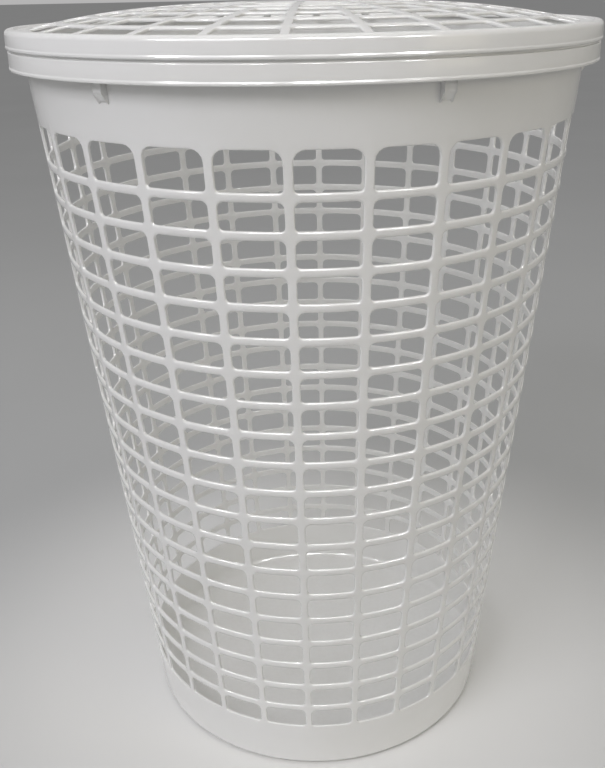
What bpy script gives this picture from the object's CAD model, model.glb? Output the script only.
"""Looks of a round lattice laundry hamper with a lift-off dome lid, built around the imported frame.

Lengths inside the classes are millimetres and become metres when a mesh is made. Rib 0 of the
lattice faces -Y, and every piece shares one set of directions around the axis, so that neighbouring
pieces of one moulding meet point to point.
"""

import logging
import math
from dataclasses import dataclass, field
from enum import Enum

import bmesh
import bpy
from mathutils import Matrix, Vector


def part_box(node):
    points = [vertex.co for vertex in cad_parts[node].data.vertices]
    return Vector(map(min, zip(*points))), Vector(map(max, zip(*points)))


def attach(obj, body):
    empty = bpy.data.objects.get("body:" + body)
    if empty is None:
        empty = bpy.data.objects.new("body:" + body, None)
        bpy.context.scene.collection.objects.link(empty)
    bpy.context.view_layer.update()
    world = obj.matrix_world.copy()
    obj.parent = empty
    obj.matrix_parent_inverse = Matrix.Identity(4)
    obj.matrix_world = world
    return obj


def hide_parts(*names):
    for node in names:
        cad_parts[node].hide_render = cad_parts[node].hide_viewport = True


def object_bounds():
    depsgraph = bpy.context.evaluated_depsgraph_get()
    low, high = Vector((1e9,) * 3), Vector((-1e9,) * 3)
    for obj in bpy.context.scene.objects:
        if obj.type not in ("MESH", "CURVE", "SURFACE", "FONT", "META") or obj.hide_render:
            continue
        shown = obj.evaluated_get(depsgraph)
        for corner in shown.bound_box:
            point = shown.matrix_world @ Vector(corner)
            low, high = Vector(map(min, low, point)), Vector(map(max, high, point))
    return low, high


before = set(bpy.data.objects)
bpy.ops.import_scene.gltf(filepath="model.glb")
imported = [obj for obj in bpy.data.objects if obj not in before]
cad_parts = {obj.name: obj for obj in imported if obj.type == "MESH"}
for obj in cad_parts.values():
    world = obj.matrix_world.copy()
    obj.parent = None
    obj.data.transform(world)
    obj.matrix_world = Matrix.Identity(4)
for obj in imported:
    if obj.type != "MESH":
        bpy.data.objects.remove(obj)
cad_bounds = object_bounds()

MM = 0.001
log = logging.getLogger("hamper")


class Body(Enum):
    """The two mouldings that move apart."""

    BASKET = "basket"
    LID = "lid"


class Slot(Enum):
    """The material slots of the record."""

    BASKET = "basket_plastic"
    LID = "lid_plastic"


class Side(Enum):
    """The four edges of a lattice cell."""

    LOW = "low"
    HIGH = "high"
    LEFT = "left"
    RIGHT = "right"


# ---------------------------------------------------------------------------------------------
# Sizes
# ---------------------------------------------------------------------------------------------


@dataclass(frozen=True)
class Extent:
    """The reach of a CAD node: its largest radius and its lowest and highest points, in millimetres."""

    radius: float
    low: float
    high: float


def extent(node: str) -> Extent:
    """Measures a CAD node.

    Args:
        node: The node's name.

    Returns:
        Its largest radius about the axis and its height range.
    """
    low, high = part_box(node)
    reach = max(abs(low.x), abs(high.x), abs(low.y), abs(high.y))
    return Extent(reach / MM, low.z / MM, high.z / MM)


@dataclass(frozen=True)
class Plan:
    """Sizes that the basket and the lid share, measured from the frame."""

    columns: int = 26
    columns_per_panel: int = 2
    front: float = -math.pi / 2
    wall_t: float = 2.4
    corner_start: float = 0.7

    @property
    def rib_step(self) -> float:
        """Angle from one rib to the next."""
        return 2 * math.pi / self.columns

    @property
    def panel_count(self) -> int:
        """Number of wall panels."""
        return self.columns // self.columns_per_panel

    @property
    def slope(self) -> float:
        """Growth of the wall's radius for each unit of height."""
        band, neck = extent("lower_band"), extent("upper_band")
        return (neck.radius - band.radius) / (neck.high - band.high)

    @property
    def base_r(self) -> float:
        """Outer radius of the wall at the floor."""
        band = extent("lower_band")
        return band.radius - self.slope * band.high

    def fractions(self) -> list[float]:
        """Spreads the mesh points along the low and high edge of a cell.

        Returns:
            Their places along the edge, from -1 to 1, closer together near the corners.
        """
        start = self.corner_start
        half = [1.0, (1 + start) / 2, start, start / 2]
        return [-f for f in half] + [0.0] + half[::-1]

    def wide_fractions(self) -> list[float]:
        """The same for a cell that spans two columns."""
        narrow = self.fractions()
        return [(f - 1) / 2 for f in narrow] + [(f + 1) / 2 for f in narrow[1:]]

    def directions(self) -> list[float]:
        """Angles of every mesh point around the axis, once around."""
        half = self.rib_step / 2
        return [
            self.front + (2 * column + 1 + f) * half
            for column in range(self.columns)
            for f in self.fractions()[:-1]
        ]


# ---------------------------------------------------------------------------------------------
# Mesh tools
# ---------------------------------------------------------------------------------------------


@dataclass(frozen=True)
class Corner:
    """A corner of a profile: its radius and height, and how far it is rounded."""

    r: float
    z: float
    round: float = 0.0


def rounded(corners: list[Corner], steps: int = 4) -> list[tuple[float, float]]:
    """Rounds the corners of a closed profile with true arcs.

    Args:
        corners: The profile's corners in order.
        steps: Segments in each arc.

    Returns:
        The points of the profile.
    """
    points: list[tuple[float, float]] = []
    for i, corner in enumerate(corners):
        here = Vector((corner.r, corner.z))
        if corner.round <= 0:
            points.append((corner.r, corner.z))
            continue
        before, after = corners[i - 1], corners[(i + 1) % len(corners)]
        back = (Vector((before.r, before.z)) - here).normalized()
        ahead = (Vector((after.r, after.z)) - here).normalized()
        half = back.angle(ahead) / 2
        centre = here + (back + ahead).normalized() * (corner.round / math.sin(half))
        first = here + back * (corner.round / math.tan(half)) - centre
        last = here + ahead * (corner.round / math.tan(half)) - centre
        start = math.atan2(first.y, first.x)
        sweep = math.remainder(math.atan2(last.y, last.x) - start, 2 * math.pi)
        for k in range(steps + 1):
            angle = start + sweep * k / steps
            arm = Vector((math.cos(angle), math.sin(angle))) * corner.round
            points.append(tuple(centre + arm))
    return points


@dataclass
class MeshDraft:
    """Collects points and faces in millimetres and turns them into closed, smooth-shaded pieces."""

    points: list[tuple[float, float, float]] = field(default_factory=list)
    faces: list[tuple[int, ...]] = field(default_factory=list)
    weld_gap: float = 2e-6
    sharp_angle: float = math.radians(42)
    bevel_segments: int = 3

    def ring(self, points: list[tuple[float, float, float]]) -> list[int]:
        """Adds points.

        Args:
            points: The new points.

        Returns:
            Their numbers.
        """
        first = len(self.points)
        self.points.extend(points)
        return list(range(first, len(self.points)))

    def strip(self, outer: list[int], inner: list[int]) -> None:
        """Joins two closed rings with quads.

        Args:
            outer: Point numbers of the first ring.
            inner: Point numbers of the second ring, as many as in the first.
        """
        count = len(outer)
        for i in range(count):
            j = (i + 1) % count
            self.faces.append((outer[i], outer[j], inner[j], inner[i]))

    def revolve(self, profile: list[tuple[float, float]], directions: list[float]) -> None:
        """Turns a closed profile around the axis.

        Args:
            profile: Radius and height of each point.
            directions: The angles at which the profile is placed, once around.
        """
        spokes = [
            self.ring([(r * math.cos(a), r * math.sin(a), z) for r, z in profile]) for a in directions
        ]
        for i, spoke in enumerate(spokes):
            self.strip(spoke, spokes[(i + 1) % len(spokes)])

    def extrude(self, outline: list[tuple[float, float]], half_width: float) -> None:
        """Makes a plate from an outline in radius and height, standing along +X.

        Args:
            outline: Radius and height of each point.
            half_width: Half of the plate's thickness along Y.
        """
        near = self.ring([(r, -half_width, z) for r, z in outline])
        far = self.ring([(r, half_width, z) for r, z in outline])
        self.strip(near, far)
        self.faces.append(tuple(near))
        self.faces.append(tuple(reversed(far)))

    def mesh(self, name: str, bevel: float = 0.0) -> bpy.types.Mesh:
        """Welds the draft into a mesh in metres.

        Args:
            name: The mesh's name.
            bevel: How far every edge is rounded, in millimetres.

        Returns:
            The finished mesh.
        """
        made = bpy.data.meshes.new(name)
        made.from_pydata([[c * MM for c in p] for p in self.points], [], self.faces)
        work = bmesh.new()
        work.from_mesh(made)
        bmesh.ops.remove_doubles(work, verts=work.verts[:], dist=self.weld_gap)
        bmesh.ops.dissolve_degenerate(work, dist=self.weld_gap, edges=work.edges[:])
        if bevel:
            bmesh.ops.bevel(
                work,
                geom=work.edges[:],
                offset=bevel * MM,
                segments=self.bevel_segments,
                profile=0.5,
                affect="EDGES",
            )
        bmesh.ops.recalc_face_normals(work, faces=work.faces[:])
        work.to_mesh(made)
        work.free()
        made.shade_smooth()
        made.set_sharp_from_angle(angle=self.sharp_angle)
        return made


def place(mesh: bpy.types.Mesh, name: str) -> bpy.types.Object:
    """Puts a mesh into the scene.

    Args:
        mesh: The mesh.
        name: The object's name.

    Returns:
        The object.
    """
    piece = bpy.data.objects.new(name, mesh)
    bpy.context.scene.collection.objects.link(piece)
    return piece


# ---------------------------------------------------------------------------------------------
# Pierced sheets: the lattice wall and the dome
# ---------------------------------------------------------------------------------------------


@dataclass(frozen=True)
class Soft:
    """How a bar's edge rounds off: how far in from the window, and how deep."""

    width: float
    drop: float


@dataclass(frozen=True)
class Cell:
    """A window with the half bars around it. Places along the sheet run from low to high."""

    middle: float
    half_angle: float
    low: float
    high: float
    window_low: float
    window_high: float
    low_corner: float
    high_corner: float
    side: Soft
    low_bar: Soft
    high_bar: Soft


@dataclass(frozen=True)
class Station:
    """A mesh point on a window's outline, with the way out of the window and its point on the cell's edge."""

    across: float
    along: float
    out_across: float
    out_along: float
    edge_fraction: float
    edge_along: float


@dataclass(frozen=True)
class ConeSheet:
    """The basket's tapered wall. Places along it are heights."""

    base_r: float
    slope: float
    thickness: float
    bar_angle: float

    def radius(self, along: float) -> float:
        """Outer radius at a height."""
        return self.base_r + self.slope * along

    def point(self, angle: float, along: float, depth: float) -> tuple[float, float, float]:
        """Point under the outer skin at an angle, a height and a depth."""
        r = self.radius(along) - depth
        return r * math.cos(angle), r * math.sin(angle), along

    def half_width(self, along: float, cell: Cell) -> float:
        """Half of the window's width at a height. Ribs narrow with the cone."""
        return self.radius(along) * (cell.half_angle - self.bar_angle / 2)


@dataclass(frozen=True)
class DomeSheet:
    """The lid's dome. Places along it are distances inwards from its edge."""

    edge_r: float
    edge_z: float
    rise: float
    power: float
    thickness: float
    slat_w: float

    def radius(self, along: float) -> float:
        """Radius at a distance inwards."""
        return self.edge_r - along

    def top(self, r: float) -> float:
        """Height of the dome's skin at a radius."""
        return self.edge_z + self.rise * (1 - (r / self.edge_r) ** self.power)

    def point(self, angle: float, along: float, depth: float) -> tuple[float, float, float]:
        """Point under the top skin at an angle, a distance inwards and a depth."""
        r = self.radius(along)
        return r * math.cos(angle), r * math.sin(angle), self.top(r) - depth

    def half_width(self, along: float, cell: Cell) -> float:
        """Half of the window's width at a distance inwards. Slats keep their width."""
        return self.radius(along) * math.tan(cell.half_angle) - self.slat_w / 2


@dataclass(frozen=True)
class PiercedSheet:
    """Builds the mesh of window cells on a sheet, with rounded bars and both skins."""

    sheet: ConeSheet | DomeSheet
    fractions: tuple[float, ...]
    under: Soft
    front_steps: int = 3
    back_steps: int = 2

    def _edge_station(
        self, cell: Cell, fraction: float, along: float, corner: float, out: int, edge: float
    ) -> Station:
        """Makes a station on a window's low or high edge.

        Args:
            cell: The cell around the window.
            fraction: The station's place along the edge, from -1 to 1.
            along: The window edge's place along the sheet.
            corner: The radius of the edge's two corners.
            out: -1 on the low edge, 1 on the high edge.
            edge: The cell edge's place along the sheet.

        Returns:
            The station.
        """
        straight = self.sheet.half_width(along, cell) - corner
        return Station(fraction / self.fractions[-3] * straight, along, 0.0, out, fraction, edge)

    def _corner_station(
        self, cell: Cell, way: int, out: int, turn: float, corner: float, mark: tuple[float, float]
    ) -> Station:
        """Makes a station on one of a window's rounded corners.

        Args:
            cell: The cell around the window.
            way: -1 on the left, 1 on the right.
            out: -1 at the low edge, 1 at the high edge.
            turn: Angle around the corner, counted from the edge.
            corner: The corner's radius.
            mark: Fraction and place along the sheet of its point on the right half of the cell's edge.

        Returns:
            The station.
        """
        start = cell.window_low if out < 0 else cell.window_high
        along = start - out * corner * (1 - math.cos(turn))
        across = self.sheet.half_width(along, cell) - corner * (1 - math.sin(turn))
        return Station(
            way * across, along, way * math.sin(turn), out * math.cos(turn), way * mark[0], mark[1]
        )

    def _side_station(self, cell: Cell, way: int, along: float) -> Station:
        """Makes a station on a window's left (-1) or right (1) side."""
        return Station(way * self.sheet.half_width(along, cell), along, way, 0.0, way, along)

    def stations(self, cell: Cell) -> list[Station]:
        """Walks once around a window, counter-clockwise as seen from outside.

        Args:
            cell: The cell to walk around.

        Returns:
            The stations in order, starting at the left end of the low edge.
        """
        inner, near = self.fractions[2:-2], self.fractions[-2]
        low_r, high_r = cell.low_corner, cell.high_corner
        turns = [math.radians(22.5 * k) for k in (1, 2, 3)]
        low_side = cell.window_low + low_r
        high_side = cell.window_high - high_r
        rises = [low_side, (low_side + high_side) / 2, high_side]
        low_marks = [(near, cell.low), (1.0, cell.low), (1.0, (cell.low + low_side) / 2)]
        high_marks = [(near, cell.high), (1.0, cell.high), (1.0, (cell.high + high_side) / 2)]
        low_turns, high_turns = list(zip(turns, low_marks)), list(zip(turns, high_marks))
        walk = [self._edge_station(cell, f, cell.window_low, low_r, -1, cell.low) for f in inner]
        walk += [self._corner_station(cell, 1, -1, t, low_r, mark) for t, mark in low_turns]
        walk += [self._side_station(cell, 1, along) for along in rises]
        walk += [self._corner_station(cell, 1, 1, t, high_r, mark) for t, mark in reversed(high_turns)]
        walk += [self._edge_station(cell, f, cell.window_high, high_r, 1, cell.high) for f in reversed(inner)]
        walk += [self._corner_station(cell, -1, 1, t, high_r, mark) for t, mark in high_turns]
        walk += [self._side_station(cell, -1, along) for along in reversed(rises)]
        walk += [self._corner_station(cell, -1, -1, t, low_r, mark) for t, mark in reversed(low_turns)]
        return walk

    def _ring(
        self, draft: MeshDraft, cell: Cell, walk: list[Station], lean: float, back: bool
    ) -> list[int]:
        """Adds one ring of a bar's rounded edge.

        Args:
            draft: The mesh being made.
            cell: The cell.
            walk: The window's stations.
            lean: 0 where the bar's face starts to round off, 1 at the window's wall.
            back: Whether the ring is on the inner skin.

        Returns:
            The numbers of the ring's points.
        """
        quarter = lean * math.pi / 2
        points = []
        for station in walk:
            bar = cell.low_bar if station.out_along < 0 else cell.high_bar
            share = station.out_across**2
            soft = self.under if back else Soft(
                cell.side.width * share + bar.width * (1 - share),
                cell.side.drop * share + bar.drop * (1 - share),
            )
            reach = soft.width * (1 - math.sin(quarter))
            sink = soft.drop * (1 - math.cos(quarter))
            along = station.along + station.out_along * reach
            across = station.across + station.out_across * reach
            angle = cell.middle + across / self.sheet.radius(along)
            depth = self.sheet.thickness - sink if back else sink
            points.append(self.sheet.point(angle, along, depth))
        return draft.ring(points)

    def _border(self, draft: MeshDraft, cell: Cell, walk: list[Station], depth: float) -> list[int]:
        """Adds the ring of points on a cell's own edge.

        Args:
            draft: The mesh being made.
            cell: The cell.
            walk: The window's stations.
            depth: How far under the outer skin the ring lies.

        Returns:
            The numbers of the ring's points.
        """
        angles = [cell.middle + station.edge_fraction * cell.half_angle for station in walk]
        return draft.ring(
            [self.sheet.point(angle, station.edge_along, depth) for angle, station in zip(angles, walk)]
        )

    def add(self, draft: MeshDraft, cell: Cell, open_sides: set[Side]) -> None:
        """Adds a cell to a mesh.

        Args:
            draft: The mesh being made.
            cell: The cell.
            open_sides: The edges where no neighbouring cell joins, which get an end face.
        """
        walk = self.stations(cell)
        front = self._border(draft, cell, walk, 0.0)
        back = self._border(draft, cell, walk, self.sheet.thickness)
        leans = [k / self.front_steps for k in range(self.front_steps + 1)]
        under_leans = [1 - k / self.back_steps for k in range(self.back_steps + 1)]
        rings = [front]
        rings += [self._ring(draft, cell, walk, lean, False) for lean in leans]
        rings += [self._ring(draft, cell, walk, lean, True) for lean in under_leans]
        rings.append(back)
        for outer, inner in zip(rings, rings[1:]):
            draft.strip(outer, inner)
        tests = {
            Side.LOW: lambda s: s.edge_along == cell.low,
            Side.HIGH: lambda s: s.edge_along == cell.high,
            Side.LEFT: lambda s: s.edge_fraction == -1,
            Side.RIGHT: lambda s: s.edge_fraction == 1,
        }
        for i, station in enumerate(walk):
            j = (i + 1) % len(walk)
            if any(tests[side](station) and tests[side](walk[j]) for side in open_sides):
                draft.faces.append((front[i], back[i], back[j], front[j]))


# ---------------------------------------------------------------------------------------------
# Shader groups and finishes
# ---------------------------------------------------------------------------------------------


class GroupKind(Enum):
    """The shader groups that the finishes share."""

    MOULD_TONE = "mould tone"
    FLOW_WAVES = "flow waves"
    HANDLING_MARKS = "handling marks"
    SETTLED_DUST = "settled dust"


@dataclass(frozen=True)
class NodeTree:
    """Adds nodes to a shader tree and joins them."""

    tree: bpy.types.NodeTree

    def add(self, kind: str, values: dict | None = None, **settings: object) -> bpy.types.Node:
        """Adds a node.

        Args:
            kind: The node's type.
            values: Values or output sockets for its inputs, by name or number.
            settings: Properties to set before the inputs are filled.

        Returns:
            The node.
        """
        node = self.tree.nodes.new(kind)
        for key, value in settings.items():
            setattr(node, key, value)
        for key, value in (values or {}).items():
            if isinstance(value, bpy.types.NodeSocket):
                self.tree.links.new(value, node.inputs[key])
            else:
                node.inputs[key].default_value = value
        return node

    def ramp(self, value: bpy.types.NodeSocket, low: float, high: float) -> bpy.types.NodeSocket:
        """Rises smoothly from 0 at low to 1 at high."""
        return self.add(
            "ShaderNodeMapRange",
            {"Value": value, "From Min": low, "From Max": high},
            interpolation_type="SMOOTHSTEP",
        ).outputs["Result"]

    def math(self, operation: str, *values: object) -> bpy.types.NodeSocket:
        """Works out a sum, product or other operation on its values."""
        return self.add("ShaderNodeMath", dict(enumerate(values)), operation=operation).outputs[0]

    def local(self) -> bpy.types.NodeSocket:
        """Gives the place on the surface in the object's own coordinates."""
        return self.add("ShaderNodeTexCoord").outputs["Object"]

    def noise(
        self, where: bpy.types.NodeSocket, scale: object, detail: float, distortion: float = 0.0
    ) -> bpy.types.NodeSocket:
        """Gives soft random values around 0.5."""
        values = {"Vector": where, "Scale": scale, "Detail": detail, "Distortion": distortion}
        return self.add("ShaderNodeTexNoise", values).outputs["Fac"]

    def mix(self, share: bpy.types.NodeSocket, first: object, second: object) -> bpy.types.NodeSocket:
        """Mixes two colours, all of the first at 0 and all of the second at 1."""
        return self.add("ShaderNodeMix", {0: share, 6: first, 7: second}, data_type="RGBA").outputs[2]


def blank_material(name: str) -> tuple[bpy.types.Material, NodeTree]:
    """Makes a material with no nodes.

    Args:
        name: The material's name.

    Returns:
        The material and a tool to add nodes to it.
    """
    made = bpy.data.materials.new(name)
    made.use_nodes = True
    made.node_tree.nodes.clear()
    return made, NodeTree(made.node_tree)


@dataclass
class GroupLibrary:
    """Builds each shader group once."""

    made: dict[GroupKind, bpy.types.NodeTree] = field(default_factory=dict)

    def get(self, kind: GroupKind) -> bpy.types.NodeTree:
        """Finds a group, building it the first time.

        Args:
            kind: Which group.

        Returns:
            The group's tree.
        """
        if kind not in self.made:
            build = {
                GroupKind.MOULD_TONE: self._mould_tone,
                GroupKind.FLOW_WAVES: self._flow_waves,
                GroupKind.HANDLING_MARKS: self._handling_marks,
                GroupKind.SETTLED_DUST: self._settled_dust,
            }[kind]
            self.made[kind] = build()
        return self.made[kind]

    @staticmethod
    def _start(
        kind: GroupKind, inputs: dict[str, tuple[str, object]], outputs: dict[str, str]
    ) -> tuple[bpy.types.NodeTree, NodeTree, bpy.types.Node, bpy.types.Node]:
        """Makes an empty group with its sockets.

        Args:
            kind: Which group it is.
            inputs: Socket type and default value, by name.
            outputs: Socket type, by name.

        Returns:
            The group, a tool to add nodes to it, and its input and output nodes.
        """
        tree = bpy.data.node_groups.new(kind.value, "ShaderNodeTree")
        for name, (socket, value) in inputs.items():
            made = tree.interface.new_socket(name, in_out="INPUT", socket_type=socket)
            made.default_value = value
        for name, socket in outputs.items():
            tree.interface.new_socket(name, in_out="OUTPUT", socket_type=socket)
        return tree, NodeTree(tree), tree.nodes.new("NodeGroupInput"), tree.nodes.new("NodeGroupOutput")

    def _mould_tone(self) -> bpy.types.NodeTree:
        """Soft clouds of two near tones, as thin plastic shows over its thicker and thinner parts.

        Returns:
            The group's tree.
        """
        tree, nodes, given, result = self._start(
            GroupKind.MOULD_TONE,
            {
                "Light": ("NodeSocketColor", (0.8, 0.8, 0.8, 1)),
                "Shade": ("NodeSocketColor", (0.7, 0.7, 0.7, 1)),
                "Scale": ("NodeSocketFloat", 9.0),
            },
            {"Color": "NodeSocketColor"},
        )
        cloud = nodes.ramp(nodes.noise(nodes.local(), given.outputs["Scale"], 4.0), 0.35, 0.7)
        mixed = nodes.mix(cloud, given.outputs["Light"], given.outputs["Shade"])
        tree.links.new(mixed, result.inputs["Color"])
        return tree

    def _flow_waves(self) -> bpy.types.NodeTree:
        """The faint unevenness of moulded sheet: long waves that run up the wall, and small ripples.

        Returns:
            The group's tree.
        """
        tree, nodes, given, result = self._start(
            GroupKind.FLOW_WAVES,
            {"Wave Scale": ("NodeSocketFloat", 14.0), "Ripple": ("NodeSocketFloat", 0.3)},
            {"Height": "NodeSocketFloat"},
        )
        where = nodes.local()
        drawn = nodes.add("ShaderNodeMapping", {"Vector": where, "Scale": (1.0, 1.0, 0.35)}).outputs[0]
        wave = nodes.noise(drawn, given.outputs["Wave Scale"], 1.0)
        ripple = nodes.math("MULTIPLY", nodes.noise(where, 95.0, 2.0), given.outputs["Ripple"])
        tree.links.new(nodes.math("ADD", wave, ripple), result.inputs["Height"])
        return tree

    def _handling_marks(self) -> bpy.types.NodeTree:
        """Fine scuffs from use: short hair-thin lines in patches, as a mask and as a height.

        Returns:
            The group's tree.
        """
        tree, nodes, given, result = self._start(
            GroupKind.HANDLING_MARKS,
            {"Amount": ("NodeSocketFloat", 0.3), "Scale": ("NodeSocketFloat", 60.0)},
            {"Mask": "NodeSocketFloat", "Height": "NodeSocketFloat"},
        )
        where = nodes.local()
        lines = []
        for turn, stretch in ((0.5, (0.6, 9.0, 1.2)), (-0.9, (7.0, 0.7, 1.6))):
            laid = nodes.add(
                "ShaderNodeMapping", {"Vector": where, "Rotation": (0.3, turn, turn), "Scale": stretch}
            ).outputs[0]
            lines.append(nodes.ramp(nodes.noise(laid, given.outputs["Scale"], 6.0, 0.4), 0.62, 0.7))
        patches = nodes.ramp(nodes.noise(where, 11.0, 3.0), 0.45, 0.65)
        scuffs = nodes.math("MULTIPLY", nodes.math("MAXIMUM", *lines), patches)
        mask = nodes.math("MULTIPLY", scuffs, given.outputs["Amount"])
        for name in ("Mask", "Height"):
            tree.links.new(mask, result.inputs[name])
        return tree

    def _settled_dust(self) -> bpy.types.NodeTree:
        """A thin film of dust on faces that look up, broken into specks.

        Returns:
            The group's tree.
        """
        tree, nodes, given, result = self._start(
            GroupKind.SETTLED_DUST,
            {"Amount": ("NodeSocketFloat", 0.2)},
            {"Mask": "NodeSocketFloat"},
        )
        facing = nodes.add("ShaderNodeNewGeometry").outputs["Normal"]
        up = nodes.add("ShaderNodeSeparateXYZ", {"Vector": facing}).outputs["Z"]
        specks = nodes.ramp(nodes.noise(nodes.local(), 260.0, 3.0), 0.35, 0.75)
        film = nodes.math("MULTIPLY", nodes.ramp(up, 0.3, 0.95), specks)
        tree.links.new(nodes.math("MULTIPLY", film, given.outputs["Amount"]), result.inputs["Mask"])
        return tree


GROUPS = GroupLibrary()


@dataclass(frozen=True)
class PolypropyleneFinish:
    """Glossy white moulded polypropylene."""

    name: str
    light: tuple[float, float, float]
    shade: tuple[float, float, float]
    dust: tuple[float, float, float] = (0.62, 0.6, 0.56)
    gloss: float = 0.14
    scuff_amount: float = 0.8
    scuff_rough: float = 0.16
    dust_amount: float = 0.1
    wave_depth: float = 0.00016
    scuff_depth: float = 0.000003
    refraction: float = 1.49

    def material(self) -> bpy.types.Material:
        """Builds the material.

        Returns:
            The material, ready for a mesh.
        """
        made, nodes = blank_material(self.name)
        tone = self._group(
            nodes, GroupKind.MOULD_TONE, {"Light": (*self.light, 1), "Shade": (*self.shade, 1)}
        )
        dust = self._group(nodes, GroupKind.SETTLED_DUST, {"Amount": self.dust_amount})
        marks = self._group(nodes, GroupKind.HANDLING_MARKS, {"Amount": self.scuff_amount})
        waves = self._group(nodes, GroupKind.FLOW_WAVES, {})
        colour = nodes.mix(dust.outputs["Mask"], tone.outputs["Color"], (*self.dust, 1))
        worn = nodes.math("ADD", marks.outputs["Mask"], dust.outputs["Mask"])
        rough = nodes.math("MULTIPLY_ADD", worn, self.scuff_rough, self.gloss)
        swell = nodes.add("ShaderNodeBump", {"Height": waves.outputs["Height"], "Distance": self.wave_depth})
        relief = nodes.add(
            "ShaderNodeBump",
            {
                "Height": marks.outputs["Height"],
                "Distance": self.scuff_depth,
                "Normal": swell.outputs["Normal"],
            },
        )
        surface = nodes.add(
            "ShaderNodeBsdfPrincipled",
            {
                "Base Color": colour,
                "Roughness": rough,
                "Normal": relief.outputs["Normal"],
                "IOR": self.refraction,
            },
        )
        nodes.add("ShaderNodeOutputMaterial", {"Surface": surface.outputs["BSDF"]})
        return made

    @staticmethod
    def _group(nodes: NodeTree, kind: GroupKind, values: dict) -> bpy.types.Node:
        """Places a shader group with its own values."""
        return nodes.add("ShaderNodeGroup", values, node_tree=GROUPS.get(kind))


@dataclass(frozen=True)
class FloorFinish:
    """A plain pale matt floor that fades to a quieter grey away from the hamper."""

    near: tuple[float, float, float] = (0.78, 0.78, 0.77)
    far: tuple[float, float, float] = (0.45, 0.455, 0.455)
    near_r: float = 0.14
    far_r: float = 0.5
    cloud: float = 0.97
    cloud_scale: float = 1.5
    rough: float = 0.8

    def material(self) -> bpy.types.Material:
        """Builds the floor's material.

        Returns:
            The material, centred on the world's origin.
        """
        made, nodes = blank_material("pale floor")
        away = nodes.add("ShaderNodeVectorMath", {0: nodes.local()}, operation="LENGTH").outputs["Value"]
        tones = [
            nodes.add(
                "ShaderNodeGroup",
                {
                    "Light": (*tone, 1),
                    "Shade": (*(c * self.cloud for c in tone), 1),
                    "Scale": self.cloud_scale,
                },
                node_tree=GROUPS.get(GroupKind.MOULD_TONE),
            ).outputs["Color"]
            for tone in (self.near, self.far)
        ]
        fade = nodes.mix(nodes.ramp(away, self.near_r, self.far_r), *tones)
        surface = nodes.add(
            "ShaderNodeBsdfPrincipled",
            {"Base Color": fade, "Roughness": self.rough, "Specular IOR Level": 0.0},
        )
        nodes.add("ShaderNodeOutputMaterial", {"Surface": surface.outputs["BSDF"]})
        return made


# ---------------------------------------------------------------------------------------------
# Sub-assemblies
# ---------------------------------------------------------------------------------------------


@dataclass
class Moulding:
    """What the basket and the lid share: how a finished mesh becomes a piece of the model."""

    plan: Plan
    material: bpy.types.Material
    body: Body
    slot: Slot

    def dress(self, mesh: bpy.types.Mesh, name: str, *nodes: str) -> bpy.types.Object:
        """Turns a mesh into a piece that stands for CAD nodes.

        Args:
            mesh: The finished mesh.
            name: The piece's name.
            nodes: The CAD nodes that the piece stands for.

        Returns:
            The piece.
        """
        mesh.materials.append(self.material)
        piece = place(mesh, name)
        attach(piece, self.body.value)
        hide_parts(*nodes)
        stands_for = ", ".join(nodes)
        log.info("%s: %d points on %s, for %s", name, len(mesh.vertices), self.body.value, stands_for)
        return piece


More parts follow.
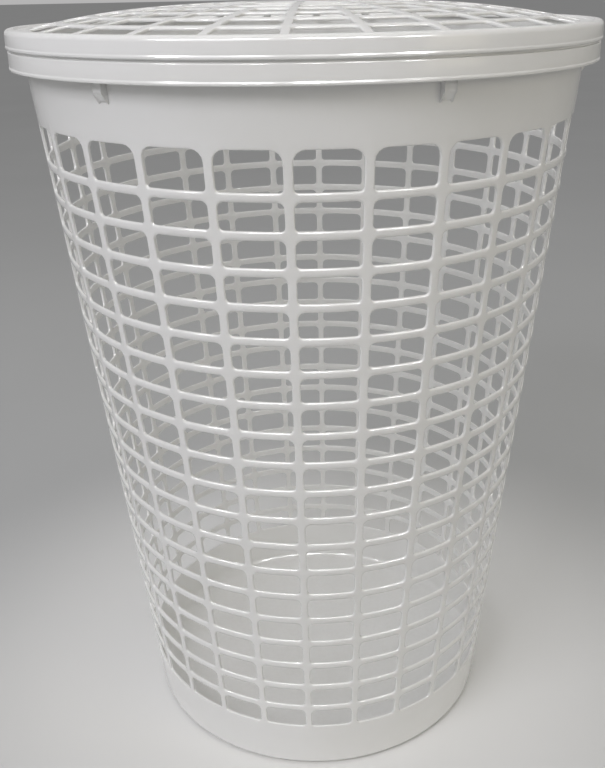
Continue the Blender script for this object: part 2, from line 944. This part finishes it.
@dataclass
class Basket(Moulding):
    """The tall tapered basket: base, lattice wall, plain upper band, rim and stacking lugs."""

    rows: int = 20
    row_pitch: float = 23.4
    hoop_h: float = 5.8
    first_window_h: float = 25.0
    rib_angle: float = math.radians(1.75)
    band_edge: float = 5.5
    first_corner: float = 7.5
    window_corner: float = 4.2
    foot_corner: float = 2.8
    rib_soft: Soft = Soft(1.2, 0.7)
    hoop_soft: Soft = Soft(2.3, 1.1)
    band_soft: Soft = Soft(1.2, 0.6)
    under_soft: Soft = Soft(0.5, 0.5)
    floor_lift: float = 2.0
    foot_w: float = 13.6
    foot_slope: float = 1.2
    heel_r: float = 6.0
    inner_corner: float = 9.0
    gate_r: float = 3.4
    gate_h: float = 0.7
    gate_slope: float = 0.5
    rim_t: float = 2.2
    step_in: float = 1.4
    bead: float = 0.45
    bead_h: float = 1.5
    bead_blend: float = 0.9
    shoulder_z: float = 563.1
    lug_count: int = 6
    lug_turn: float = math.radians(26.7)
    lug_w: float = 8.0
    lug_drop: float = 12.0
    lug_out: float = 4.0
    lug_slant: float = 6.0
    lug_round: float = 0.8
    lug_sunk: float = 0.6

    def __post_init__(self) -> None:
        """Sets up the wall's sheet from the frame."""
        self.sheet = ConeSheet(self.plan.base_r, self.plan.slope, self.plan.wall_t, self.rib_angle)
        self.panel_reach = extent("wall_panel_01")
        self.rim = extent("rim_skirt")

    def wall_out(self, z: float) -> float:
        """Outer radius of the wall at a height."""
        return self.sheet.radius(z)

    def wall_in(self, z: float) -> float:
        """Inner radius of the wall at a height."""
        return self.sheet.radius(z) - self.plan.wall_t

    def cells(self, column: int) -> list[tuple[Cell, set[Side]]]:
        """Lays out one column of windows from the top down.

        Args:
            column: The column's number, counted from rib 0.

        Returns:
            Each cell with the edges where no cell of this panel joins it.
        """
        lattice_top = self.panel_reach.high - self.band_edge
        first_of_panel = column % self.plan.columns_per_panel == 0
        outer_side = Side.LEFT if first_of_panel else Side.RIGHT
        laid = []
        for row in range(self.rows):
            first, last = row == 0, row == self.rows - 1
            window_low = lattice_top - self.first_window_h - row * self.row_pitch
            window_high = lattice_top if first else window_low + self.row_pitch - self.hoop_h
            laid.append(
                (
                    Cell(
                        middle=self.plan.front + (column + 0.5) * self.plan.rib_step,
                        half_angle=self.plan.rib_step / 2,
                        low=self.panel_reach.low if last else window_low - self.hoop_h / 2,
                        high=self.panel_reach.high if first else window_high + self.hoop_h / 2,
                        window_low=window_low,
                        window_high=window_high,
                        low_corner=self.foot_corner,
                        high_corner=self.first_corner if first else self.window_corner,
                        side=self.rib_soft,
                        low_bar=self.band_soft if last else self.hoop_soft,
                        high_bar=self.band_soft if first else self.hoop_soft,
                    ),
                    {outer_side} | ({Side.HIGH} if first else set()) | ({Side.LOW} if last else set()),
                )
            )
        return laid

    def wall_panels(self) -> None:
        """Builds one panel of the lattice and turns it around the axis."""
        builder = PiercedSheet(self.sheet, tuple(self.plan.fractions()), self.under_soft)
        draft = MeshDraft()
        for column in range(self.plan.columns_per_panel):
            for cell, open_sides in self.cells(column):
                builder.add(draft, cell, open_sides)
        first = draft.mesh("wall_panel")
        for index in range(self.plan.panel_count):
            mesh = first.copy()
            turn = index * self.plan.columns_per_panel * self.plan.rib_step
            mesh.transform(Matrix.Rotation(turn, 4, "Z"))
            node = f"wall_panel_{index + 1:02d}"
            self.dress(mesh, f"lattice_{node}", node)
        bpy.data.meshes.remove(first)

    def base(self) -> None:
        """Builds the floor, the foot ring, the rounded heel and the plain lower band."""
        top = self.panel_reach.low
        floor_top = self.floor_lift + self.plan.wall_t
        foot_in = self.wall_out(0) - self.heel_r - self.foot_w
        gate_low = self.floor_lift - self.gate_h
        profile = [
            Corner(0, gate_low),
            Corner(self.gate_r, gate_low, 0.4),
            Corner(self.gate_r + self.gate_slope, self.floor_lift, 0.3),
            Corner(foot_in - self.foot_slope, self.floor_lift, 0.6),
            Corner(foot_in, 0, 0.7),
            Corner(self.wall_out(0), 0, self.heel_r),
            Corner(self.wall_out(top), top),
            Corner(self.wall_in(top), top),
            Corner(self.wall_in(floor_top), floor_top, self.inner_corner),
            Corner(0, floor_top),
        ]
        draft = MeshDraft()
        draft.revolve(rounded(profile, 6), self.plan.directions())
        self.dress(draft.mesh("base"), "basket_base", "floor_pan", "lower_band")

    def rim_ring(self) -> None:
        """Builds the upper band, the flat rim, its stepped skirt and the bead along its edge."""
        low, top = self.panel_reach.high, self.rim.high
        skirt_low, web = self.rim.low, self.rim.high - self.rim_t
        skirt_r = self.rim.radius - self.bead
        step_r = skirt_r - self.step_in
        skirt_in, flange_r = skirt_r - self.rim_t, step_r - self.rim_t
        bead_r, bead_top = skirt_r + self.bead, skirt_low + self.bead_h
        profile = [
            Corner(self.wall_in(low), low),
            Corner(self.wall_in(top), top, 1.0),
            Corner(step_r, top, 1.5),
            Corner(step_r, self.shoulder_z, 0.4),
            Corner(skirt_r, self.shoulder_z, 0.9),
            Corner(skirt_r, bead_top + self.bead_blend, 0.5),
            Corner(bead_r, bead_top, 0.5),
            Corner(bead_r, skirt_low, 0.7),
            Corner(skirt_in, skirt_low, 0.6),
            Corner(skirt_in, self.shoulder_z - 2 * self.rim_t, 0.5),
            Corner(flange_r, self.shoulder_z - self.rim_t, 0.5),
            Corner(flange_r, web, 1.2),
            Corner(self.wall_out(web), web, 1.5),
            Corner(self.wall_out(low), low),
        ]
        draft = MeshDraft()
        draft.revolve(rounded(profile, 4), self.plan.directions())
        self.dress(draft.mesh("rim"), "basket_rim", "upper_band", "rim_flange", "rim_skirt")

    def lugs(self) -> None:
        """Builds the boxy lugs under the rim, with their slanted lower ends."""
        low = self.rim.low - self.lug_drop
        knee = low + self.lug_slant
        web = self.rim.high - self.rim_t
        face = self.wall_out(knee) + self.lug_out
        draft = MeshDraft()
        draft.extrude(
            [
                (self.wall_out(low) - self.lug_sunk, low),
                (self.wall_out(low) + self.lug_sunk, low),
                (face, knee),
                (face, web),
                (self.wall_out(web) - self.lug_sunk, web),
            ],
            self.lug_w / 2,
        )
        one = draft.mesh("lug", bevel=self.lug_round)
        work = bmesh.new()
        for i in range(self.lug_count):
            angle = self.plan.front + self.lug_turn + i * 2 * math.pi / self.lug_count
            copy = one.copy()
            copy.transform(Matrix.Rotation(angle, 4, "Z"))
            work.from_mesh(copy)
            bpy.data.meshes.remove(copy)
        work.to_mesh(one)
        work.free()
        self.dress(one, "rim_lugs", "stacking_lugs")

    def build(self) -> None:
        """Builds every piece of the basket."""
        self.base()
        self.wall_panels()
        self.rim_ring()
        self.lugs()


@dataclass
class Lid(Moulding):
    """The lift-off lid: a rounded skirt and ledge, two rings of dome grille and a plain hub."""

    skin_t: float = 2.0
    ledge_dip: float = 1.4
    power: float = 3.0
    shoulder: float = 3.5
    shoulder_w: float = 5.95
    draft_in: float = 0.2
    bead: float = 0.35
    bead_h: float = 1.5
    bead_blend: float = 0.9
    ring_pitch: float = 22.5
    ring_w: float = 5.0
    slat_w: float = 6.0
    outer_rows: int = 4
    inner_rows: int = 3
    corner: float = 3.2
    dimple_r: float = 7.0
    dimple: float = 0.5
    dimple_slope: float = 1.0
    nub_r: float = 2.0
    nub_slope: float = 0.4
    nub_drop: float = 0.1
    slat_soft: Soft = Soft(1.2, 0.6)
    ring_soft: Soft = Soft(1.9, 0.9)
    under_soft: Soft = Soft(0.5, 0.5)

    def __post_init__(self) -> None:
        """Sets up the dome's sheet from the frame."""
        self.skirt = extent("lid_skirt")
        crown = extent("lid_hub")
        self.hub = crown.radius
        edge_z = self.skirt.high - self.ledge_dip
        self.sheet = DomeSheet(
            edge_r=extent("lid_outer_grille").radius,
            edge_z=edge_z,
            rise=crown.high - edge_z,
            power=self.power,
            thickness=self.skin_t,
            slat_w=self.slat_w,
        )

    def skirt_ring(self) -> None:
        """Builds the skirt with its bead, the proud rounded shoulder and the lower ledge inside it."""
        top, low = self.skirt.high, self.skirt.low
        face = self.skirt.radius - self.bead
        edge, ledge = self.sheet.edge_r, self.sheet.edge_z
        shoulder_r = face - self.draft_in
        crown = shoulder_r - self.shoulder_w
        bead_r, bead_top = face + self.bead, low + self.bead_h
        profile = [
            Corner(edge, ledge - self.skin_t),
            Corner(edge, ledge),
            Corner(crown - self.ledge_dip, ledge, 0.6),
            Corner(crown, top, 1.0),
            Corner(shoulder_r, top, self.shoulder),
            Corner(face, bead_top + self.bead_blend, 0.5),
            Corner(bead_r, bead_top, 0.5),
            Corner(bead_r, low, 0.7),
            Corner(face - self.skin_t + 0.4, low, 0.4),
            Corner(face - self.skin_t, top - self.skin_t, 1.4),
            Corner(edge + 1.9, top - self.skin_t),
            Corner(edge + 1.5, ledge - self.skin_t),
        ]
        draft = MeshDraft()
        draft.revolve(rounded(profile, 5), self.plan.directions())
        self.dress(draft.mesh("skirt"), "lid_rim", "lid_skirt", "lid_ledge")

    def grille(self, name: str, start: float, rows: int, columns: int, fractions: list[float]) -> None:
        """Builds a ring of the dome's windows.

        Args:
            name: The CAD node that it stands for.
            start: Distance inwards from the dome's edge to the ring's outer edge.
            rows: Rows of windows.
            columns: Windows in each row.
            fractions: Places of the mesh points along each cell's edge.
        """
        builder = PiercedSheet(self.sheet, tuple(fractions), self.under_soft)
        draft = MeshDraft()
        half = math.pi / columns
        for column in range(columns):
            for row in range(rows):
                low = start + row * self.ring_pitch
                cell = Cell(
                    middle=self.plan.front + (2 * column + 1) * half,
                    half_angle=half,
                    low=low,
                    high=low + self.ring_pitch,
                    window_low=low + self.ring_w / 2,
                    window_high=low + self.ring_pitch - self.ring_w / 2,
                    low_corner=self.corner,
                    high_corner=self.corner,
                    side=self.slat_soft,
                    low_bar=self.ring_soft,
                    high_bar=self.ring_soft,
                )
                ends = ({Side.LOW} if row == 0 else set()) | ({Side.HIGH} if row == rows - 1 else set())
                builder.add(draft, cell, ends)
        self.dress(draft.mesh(name), f"dome_{name}", name)

    def hub_disc(self) -> None:
        """Builds the plain middle of the dome, with a shallow dimple around the moulding gate."""
        top = self.sheet.top
        under = top(self.hub) - self.skin_t
        rings = [self.hub * k / 4 for k in (4, 3, 2)]
        lip_r = self.dimple_r + self.dimple_slope
        dimple_z, nub_z = top(0) - self.dimple, top(0) - self.nub_drop
        profile = [Corner(0, under), Corner(self.hub, under)]
        profile += [Corner(r, top(r)) for r in rings]
        profile += [
            Corner(lip_r, top(lip_r), 0.8),
            Corner(self.dimple_r, dimple_z, 0.5),
            Corner(self.nub_r + self.nub_slope, dimple_z, 0.3),
            Corner(self.nub_r, nub_z, 0.3),
            Corner(0, nub_z),
        ]
        draft = MeshDraft()
        draft.revolve(rounded(profile), self.plan.directions())
        self.dress(draft.mesh("hub"), "dome_hub", "lid_hub")

    def build(self) -> None:
        """Builds every piece of the lid."""
        self.skirt_ring()
        self.grille("lid_outer_grille", 0.0, self.outer_rows, self.plan.columns, self.plan.fractions())
        self.grille(
            "lid_inner_grille",
            self.outer_rows * self.ring_pitch,
            self.inner_rows,
            self.plan.columns // 2,
            self.plan.wide_fractions(),
        )
        self.hub_disc()


# ---------------------------------------------------------------------------------------------
# Studio
# ---------------------------------------------------------------------------------------------


@dataclass(frozen=True)
class SoftBox:
    """A soft rectangular lamp that faces a point."""

    name: str
    position: tuple[float, float, float]
    target: tuple[float, float, float]
    size: tuple[float, float]
    power: float
    colour: tuple[float, float, float] = (1.0, 1.0, 1.0)
    only_gleams: bool = False

    def build(self) -> None:
        """Adds the lamp to the scene."""
        lamp = bpy.data.lights.new(self.name, "AREA")
        lamp.shape = "RECTANGLE"
        lamp.size, lamp.size_y = self.size
        lamp.energy = self.power
        lamp.color = self.colour
        holder = bpy.data.objects.new(self.name, lamp)
        holder.location = self.position
        aim = Vector(self.target) - holder.location
        holder.rotation_euler = aim.to_track_quat("-Z", "Y").to_euler()
        holder.visible_camera = False
        holder.visible_diffuse = not self.only_gleams
        bpy.context.scene.collection.objects.link(holder)


@dataclass(frozen=True)
class Viewpoint:
    """The camera: close in front, a little to the right, level with the lid and looking down."""

    distance: float = 0.7211
    height: float = 0.599
    turn: float = 0.0581
    pitch: float = 0.4125
    yaw: float = -0.0114
    roll: float = 0.017
    lens: float = 42.38
    shift_x: float = -0.0254
    nearest: float = 0.02

    def build(self) -> None:
        """Adds the camera to the scene and makes it the active one."""
        right = Vector((math.cos(self.yaw), math.sin(self.yaw), 0))
        level = Vector((-math.sin(self.yaw), math.cos(self.yaw), 0))
        ahead = level * math.cos(self.pitch) - Vector((0, 0, math.sin(self.pitch)))
        up = level * math.sin(self.pitch) + Vector((0, 0, math.cos(self.pitch)))
        side = right * math.cos(self.roll) - up * math.sin(self.roll)
        over = right * math.sin(self.roll) + up * math.cos(self.roll)
        pose = Matrix((side, over, -ahead)).transposed().to_4x4()
        pose.translation = Vector((0, -self.distance, self.height))
        lens = bpy.data.cameras.new("camera")
        lens.lens = self.lens
        lens.shift_x = self.shift_x
        lens.clip_start = self.nearest
        camera = bpy.data.objects.new("camera", lens)
        camera.matrix_world = Matrix.Rotation(self.turn, 4, "Z") @ pose
        bpy.context.scene.collection.objects.link(camera)
        bpy.context.scene.camera = camera


@dataclass(frozen=True)
class Studio:
    """The plain pale floor, the soft lamps, the even surround and the camera."""

    floor_r: float = 60.0
    floor_z: float = -0.0004
    surround: tuple[float, float, float] = (0.99, 0.98, 0.98)
    surround_strength: float = 0.47
    ceiling_z: float = 2.2
    ceiling: tuple[tuple[float, float], ...] = (
        (-2.1, -1.8),
        (-0.65, -2.0),
        (0.24, -1.9),
        (0.95, -2.0),
        (1.9, -1.9),
    )

    def floor(self) -> None:
        """Lays the floor as a wide disc."""
        draft = bmesh.new()
        bmesh.ops.create_circle(draft, cap_ends=True, segments=96, radius=self.floor_r)
        mesh = bpy.data.meshes.new("floor")
        draft.to_mesh(mesh)
        draft.free()
        mesh.transform(Matrix.Translation((0, 0, self.floor_z)))
        mesh.materials.append(FloorFinish().material())
        place(mesh, "floor")

    def surroundings(self) -> None:
        """Fills the room with even pale light."""
        world = bpy.data.worlds.new("surround")
        world.use_nodes = True
        back = world.node_tree.nodes["Background"]
        back.inputs["Color"].default_value = (*self.surround, 1)
        back.inputs["Strength"].default_value = self.surround_strength
        bpy.context.scene.world = world

    def lamps(self) -> None:
        """Hangs the lamps: a broad key at the front left, fills, and small ceiling lamps that only gleam."""
        low, high = (Vector(corner) for corner in cad_bounds)
        middle = tuple((low + high) / 2)
        lid = (0.0, 0.0, high.z)
        SoftBox("key", (-1.2, -1.7, 1.95), middle, (1.3, 1.0), 27.0, (0.97, 0.96, 1.0)).build()
        SoftBox("overhead", (0.0, -0.2, 2.4), middle, (1.6, 1.6), 7.0, (1.0, 1.0, 0.96)).build()
        SoftBox("right fill", (1.9, -1.3, 1.2), middle, (1.0, 1.2), 6.0, (1.0, 0.9, 0.65)).build()
        for i, (x, y) in enumerate(self.ceiling):
            hung = (x, y, self.ceiling_z)
            SoftBox(f"ceiling {i}", hung, lid, (0.4, 0.08), power=50.0, only_gleams=True).build()

    def build(self) -> None:
        """Sets up the whole studio."""
        self.floor()
        self.surroundings()
        self.lamps()
        Viewpoint().build()
        bpy.context.scene.view_settings.view_transform = "Standard"


def main() -> None:
    """Builds the hamper and its studio, and reports each piece."""
    logging.basicConfig(level=logging.INFO, format="%(name)s: %(message)s")
    plan = Plan()
    basket_white = PolypropyleneFinish("basket polypropylene", (0.8, 0.8, 0.79), (0.765, 0.765, 0.75))
    lid_white = PolypropyleneFinish("lid polypropylene", (0.81, 0.81, 0.805), (0.78, 0.78, 0.77))
    Basket(plan, basket_white.material(), Body.BASKET, Slot.BASKET).build()
    Lid(plan, lid_white.material(), Body.LID, Slot.LID).build()
    Studio().build()


if __name__ == "__main__":
    main()
